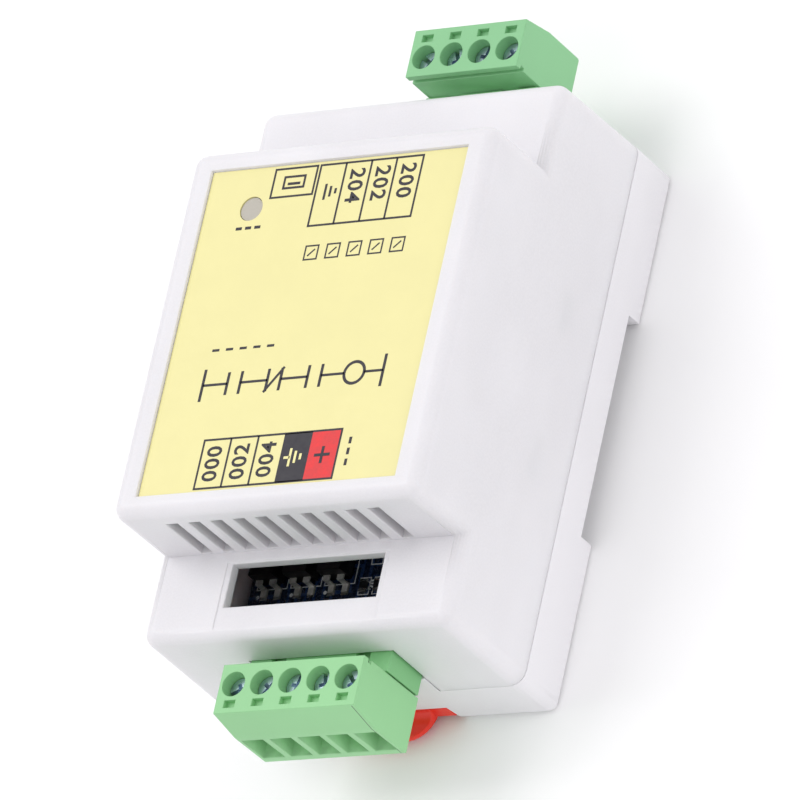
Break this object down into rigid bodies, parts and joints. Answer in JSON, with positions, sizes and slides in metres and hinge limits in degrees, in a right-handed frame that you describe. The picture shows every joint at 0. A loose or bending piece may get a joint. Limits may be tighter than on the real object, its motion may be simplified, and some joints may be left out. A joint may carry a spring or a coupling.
{
  "type": "plc module",
  "caption": "Rail-mounted programmable controller module with pluggable screw terminals at both ends, a labelled front, vents and a sprung rail clip.",
  "frame": {"origin": "centre of the plan outline, plugs included, at the height of the back face", "axes": "+Z out of the front label, -Y towards the input terminals, +X towards the side of the output terminals"},
  "size_m": [0.0564, 0.1164, 0.0452],
  "materials": {
    "housing_white": "fine moulded texture",
    "label_film": "satin polyester film",
    "clear_plastic": "frosted clear",
    "board_laminate": "solder mask",
    "zinc_plate": "bright zinc",
    "terminal_green": "moulded polyamide",
    "tinned_brass": "tin plated",
    "nickel_plate": "nickel plated",
    "black_resin": "moulded",
    "can_aluminium": "satin",
    "ferrite": "sintered",
    "enamelled_copper": "enamelled",
    "ceramic_tan": "fired ceramic",
    "led_white": "moulded",
    "clip_red": "moulded"
  },
  "bodies": {
    "housing": {"cover": "housing_white", "base": "housing_white", "label": "label_film", "light_pipe": "clear_plastic", "main_board": "board_laminate", "board_screws": "zinc_plate", "input_header": "terminal_green", "input_header_pins": "tinned_brass", "output_header": "terminal_green", "output_header_pins": "tinned_brass", "port_shell": "nickel_plate", "port_tongue": "black_resin", "processor": "black_resin", "processor_leads": "tinned_brass", "crystal": "nickel_plate", "input_optocouplers": "black_resin", "optocoupler_leads": "tinned_brass", "output_transistors": "black_resin", "transistor_leads": "tinned_brass", "capacitor_cans": "can_aluminium", "capacitor_bases": "black_resin", "regulator": "black_resin", "regulator_tab": "tinned_brass", "inductor_core": "ferrite", "inductor_winding": "enamelled_copper", "protection_diode": "black_resin", "chip_resistors": "black_resin", "chip_capacitors": "ceramic_tan", "error_led": "led_white"},
    "rail_clip": {"din_clip": "clip_red"},
    "input_plug_body": {"input_plug": "terminal_green", "input_contacts": "tinned_brass"},
    "output_plug_body": {"output_plug": "terminal_green", "output_contacts": "tinned_brass"},
    "input_screw_1_body": {"input_screw_1": "zinc_plate"},
    "input_cage_1_body": {"input_cage_1": "nickel_plate"},
    "input_screw_2_body": {"input_screw_2": "zinc_plate"},
    "input_cage_2_body": {"input_cage_2": "nickel_plate"},
    "input_screw_3_body": {"input_screw_3": "zinc_plate"},
    "input_cage_3_body": {"input_cage_3": "nickel_plate"},
    "input_screw_4_body": {"input_screw_4": "zinc_plate"},
    "input_cage_4_body": {"input_cage_4": "nickel_plate"},
    "input_screw_5_body": {"input_screw_5": "zinc_plate"},
    "input_cage_5_body": {"input_cage_5": "nickel_plate"},
    "output_screw_1_body": {"output_screw_1": "zinc_plate"},
    "output_cage_1_body": {"output_cage_1": "nickel_plate"},
    "output_screw_2_body": {"output_screw_2": "zinc_plate"},
    "output_cage_2_body": {"output_cage_2": "nickel_plate"},
    "output_screw_3_body": {"output_screw_3": "zinc_plate"},
    "output_cage_3_body": {"output_cage_3": "nickel_plate"},
    "output_screw_4_body": {"output_screw_4": "zinc_plate"},
    "output_cage_4_body": {"output_cage_4": "nickel_plate"}
  },
  "joints": [
    {"name": "rail_clip_pull", "type": "slide", "parent": "housing", "child": "rail_clip", "axis": [0, -1, 0], "range_m": [0, 0.003], "stiffness_N_per_m": 1500, "springref_m": -0.002},
    {"name": "input_plug_pull", "type": "slide", "parent": "housing", "child": "input_plug_body", "axis": [0, -1, 0], "range_m": [0, 0.01]},
    {"name": "output_plug_pull", "type": "slide", "parent": "housing", "child": "output_plug_body", "axis": [0, 1, 0], "range_m": [0, 0.01]},
    {"name": "input_screw_1_turn", "type": "hinge", "parent": "input_plug_body", "child": "input_screw_1_body", "pos_m": [-0.00996, -0.05245, 0.0265], "axis": [0, 0, 1], "range_deg": [-1440, 0]},
    {"name": "input_cage_1_lift", "type": "slide", "parent": "input_plug_body", "child": "input_cage_1_body", "axis": [0, 0, 1], "range_m": [0, 0.002]},
    {"name": "input_screw_2_turn", "type": "hinge", "parent": "input_plug_body", "child": "input_screw_2_body", "pos_m": [-0.00488, -0.05245, 0.0265], "axis": [0, 0, 1], "range_deg": [-1440, 0]},
    {"name": "input_cage_2_lift", "type": "slide", "parent": "input_plug_body", "child": "input_cage_2_body", "axis": [0, 0, 1], "range_m": [0, 0.002]},
    {"name": "input_screw_3_turn", "type": "hinge", "parent": "input_plug_body", "child": "input_screw_3_body", "pos_m": [0.0002, -0.05245, 0.0265], "axis": [0, 0, 1], "range_deg": [-1440, 0]},
    {"name": "input_cage_3_lift", "type": "slide", "parent": "input_plug_body", "child": "input_cage_3_body", "axis": [0, 0, 1], "range_m": [0, 0.002]},
    {"name": "input_screw_4_turn", "type": "hinge", "parent": "input_plug_body", "child": "input_screw_4_body", "pos_m": [0.00528, -0.05245, 0.0265], "axis": [0, 0, 1], "range_deg": [-1440, 0]},
    {"name": "input_cage_4_lift", "type": "slide", "parent": "input_plug_body", "child": "input_cage_4_body", "axis": [0, 0, 1], "range_m": [0, 0.002]},
    {"name": "input_screw_5_turn", "type": "hinge", "parent": "input_plug_body", "child": "input_screw_5_body", "pos_m": [0.01036, -0.05245, 0.0265], "axis": [0, 0, 1], "range_deg": [-1440, 0]},
    {"name": "input_cage_5_lift", "type": "slide", "parent": "input_plug_body", "child": "input_cage_5_body", "axis": [0, 0, 1], "range_m": [0, 0.002]},
    {"name": "output_screw_1_turn", "type": "hinge", "parent": "output_plug_body", "child": "output_screw_1_body", "pos_m": [-0.00112, 0.05245, 0.0265], "axis": [0, 0, 1], "range_deg": [-1440, 0]},
    {"name": "output_cage_1_lift", "type": "slide", "parent": "output_plug_body", "child": "output_cage_1_body", "axis": [0, 0, 1], "range_m": [0, 0.002]},
    {"name": "output_screw_2_turn", "type": "hinge", "parent": "output_plug_body", "child": "output_screw_2_body", "pos_m": [0.00396, 0.05245, 0.0265], "axis": [0, 0, 1], "range_deg": [-1440, 0]},
    {"name": "output_cage_2_lift", "type": "slide", "parent": "output_plug_body", "child": "output_cage_2_body", "axis": [0, 0, 1], "range_m": [0, 0.002]},
    {"name": "output_screw_3_turn", "type": "hinge", "parent": "output_plug_body", "child": "output_screw_3_body", "pos_m": [0.00904, 0.05245, 0.0265], "axis": [0, 0, 1], "range_deg": [-1440, 0]},
    {"name": "output_cage_3_lift", "type": "slide", "parent": "output_plug_body", "child": "output_cage_3_body", "axis": [0, 0, 1], "range_m": [0, 0.002]},
    {"name": "output_screw_4_turn", "type": "hinge", "parent": "output_plug_body", "child": "output_screw_4_body", "pos_m": [0.01412, 0.05245, 0.0265], "axis": [0, 0, 1], "range_deg": [-1440, 0]},
    {"name": "output_cage_4_lift", "type": "slide", "parent": "output_plug_body", "child": "output_cage_4_body", "axis": [0, 0, 1], "range_m": [0, 0.002]}
  ],
  "couplings": [
    {"joint": "input_screw_1_turn", "follows": "input_cage_1_lift", "rad_per_m": -12566},
    {"joint": "input_screw_2_turn", "follows": "input_cage_2_lift", "rad_per_m": -12566},
    {"joint": "input_screw_3_turn", "follows": "input_cage_3_lift", "rad_per_m": -12566},
    {"joint": "input_screw_4_turn", "follows": "input_cage_4_lift", "rad_per_m": -12566},
    {"joint": "input_screw_5_turn", "follows": "input_cage_5_lift", "rad_per_m": -12566},
    {"joint": "output_screw_1_turn", "follows": "output_cage_1_lift", "rad_per_m": -12566},
    {"joint": "output_screw_2_turn", "follows": "output_cage_2_lift", "rad_per_m": -12566},
    {"joint": "output_screw_3_turn", "follows": "output_cage_3_lift", "rad_per_m": -12566},
    {"joint": "output_screw_4_turn", "follows": "output_cage_4_lift", "rad_per_m": -12566}
  ]
}
